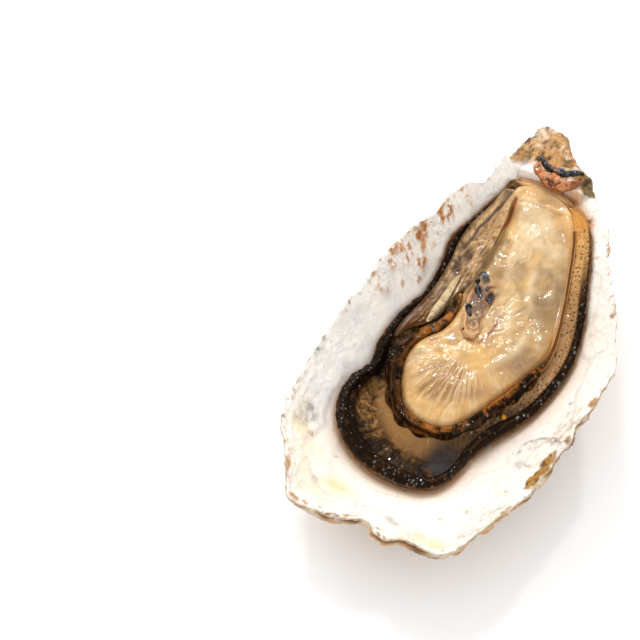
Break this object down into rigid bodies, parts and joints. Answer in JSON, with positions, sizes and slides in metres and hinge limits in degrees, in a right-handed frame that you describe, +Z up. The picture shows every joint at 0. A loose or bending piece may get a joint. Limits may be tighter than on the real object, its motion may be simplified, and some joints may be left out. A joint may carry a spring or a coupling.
{
  "type": "oyster on the half shell",
  "caption": "Raw cupped oyster in its deep lower valve: leafed shell, pale body, dark frilled mantle, gills, cut muscle and hinge.",
  "frame": {"origin": "on the surface that the shell lies on, under the middle of its box in plan", "axes": "+Z up out of the opened shell, +Y from the frilled lip to the hinge and beak, +X to the right as seen from the lip"},
  "size_m": [0.0627, 0.1112, 0.0268],
  "materials": {
    "shell": "satin nacre inside, flaky chalk outside",
    "dark_mantle": "wet",
    "brown_mantle": "wet",
    "body": "wet",
    "gills": "wet",
    "gill_edge": "wet",
    "muscle": "wet",
    "ligament": "horny, half matt",
    "resilium": "glossy"
  },
  "bodies": {
    "root": {"shell": "shell", "mantle_lower": "dark_mantle", "mantle_upper": "brown_mantle", "body": "body", "gills": "gills", "gill_edge": "gill_edge", "adductor": "muscle", "ligament": "ligament", "resilium": "resilium"}
  },
  "joints": []
}
